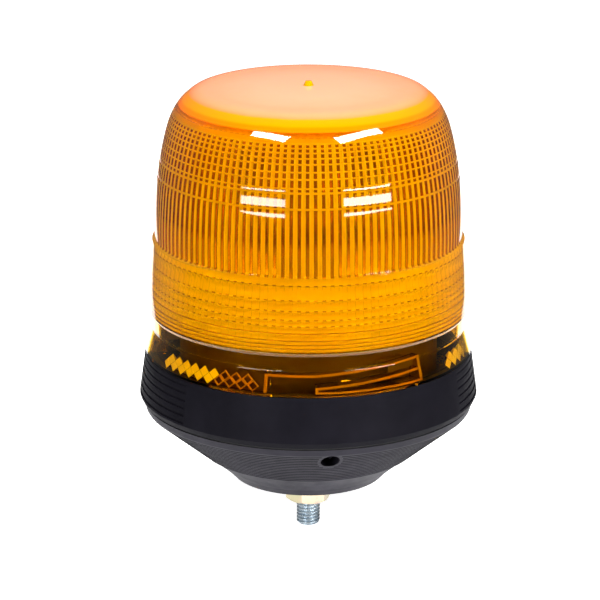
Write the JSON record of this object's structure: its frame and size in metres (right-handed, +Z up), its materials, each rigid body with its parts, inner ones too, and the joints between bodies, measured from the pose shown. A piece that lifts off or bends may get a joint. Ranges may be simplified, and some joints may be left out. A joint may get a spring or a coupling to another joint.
{
  "type": "rotating warning beacon",
  "caption": "Amber rotating warning beacon: ribbed dome lens on a bayonet, black base and tapered foot on a threaded bolt, motor-driven reflector inside.",
  "frame": {"origin": "centre of the flat bottom of the foot, on the bolt axis, where the panel touches", "axes": "+Z up along the bolt and dome axis, -Y towards the cable hole, which is the front, +X to the front viewer's right"},
  "size_m": [0.142, 0.142, 0.1935],
  "materials": {
    "amber_lens": "glossy transparent amber acrylic with moulded flutes",
    "black_rubber": "matt",
    "black_housing": "fine satin moulded black",
    "grey_black_foot": "soft satin charcoal with fine ribs",
    "zinc_steel": "bright zinc",
    "blue_zinc_bolt": "blue-white zinc plate",
    "yellow_zinc_nut": "yellow passivated zinc, iridescent",
    "cream_plastic": "satin",
    "brass_parts": "satin",
    "white_nylon": "satin natural nylon",
    "pressed_aluminium": "satin pressed aluminium",
    "black_plastic": "satin",
    "mirror_metal": "vacuum metallised mirror",
    "ceramic": "matt ceramic",
    "clear_glass": "clear quartz",
    "tungsten": "matt",
    "motor_steel": "satin",
    "capacitor_brown": "dipped gloss",
    "red_lead": "satin insulation",
    "blue_lead": "satin insulation"
  },
  "bodies": {
    "base": {"base_housing": "black_housing", "foot_cone": "grey_black_foot", "foot_gasket": "black_rubber", "foot_screws": "zinc_steel", "chassis": "black_housing", "chassis_screws": "zinc_steel", "bolt_plate": "zinc_steel", "mounting_bolt": "blue_zinc_bolt", "flat_washer": "blue_zinc_bolt", "spring_washer": "blue_zinc_bolt", "hex_nut": "yellow_zinc_nut", "cable_grommet": "black_rubber", "terminal_block": "cream_plastic", "terminal_screws": "brass_parts", "lamp_column": "cream_plastic", "column_screws": "zinc_steel", "thrust_washer": "brass_parts", "column_clip": "zinc_steel", "bulb_holder": "ceramic", "bulb_cap": "zinc_steel", "bulb_glass": "clear_glass", "bulb_filament": "tungsten", "bulb_retainer": "zinc_steel", "motor_can": "motor_steel", "motor_end_cap": "black_plastic", "motor_screws": "zinc_steel", "suppressor": "capacitor_brown", "lamp_leads": "red_lead", "motor_leads": "blue_lead"},
    "seal": {"lens_seal": "black_rubber"},
    "lens": {"lens": "amber_lens"},
    "rotor": {"rotor_gear": "white_nylon", "reflector_carrier": "pressed_aluminium", "reflector": "mirror_metal", "carrier_screws": "zinc_steel"},
    "motor_rotor": {"motor_shaft": "motor_steel", "pinion": "brass_parts"}
  },
  "joints": [
    {"name": "lens_rise", "type": "slide", "parent": "base", "child": "seal", "axis": [0, 0, 1], "range_m": [0, 0.0032]},
    {"name": "lens_twist", "type": "hinge", "parent": "seal", "child": "lens", "pos_m": [0, 0, 0.0554], "axis": [0, 0, 1], "range_deg": [0, 42]},
    {"name": "reflector_spin", "type": "hinge", "parent": "base", "child": "rotor", "pos_m": [0, 0, 0.1025], "axis": [0, 0, 1], "continuous": true},
    {"name": "motor_spin", "type": "hinge", "parent": "base", "child": "motor_rotor", "pos_m": [0.02802, 0.01962, 0.0772], "axis": [0, 0, 1], "continuous": true}
  ],
  "couplings": [
    {"joint": "lens_rise", "follows": "lens_twist", "m_per_rad": 0.00427},
    {"joint": "motor_spin", "follows": "reflector_spin", "ratio": -5.3333}
  ]
}
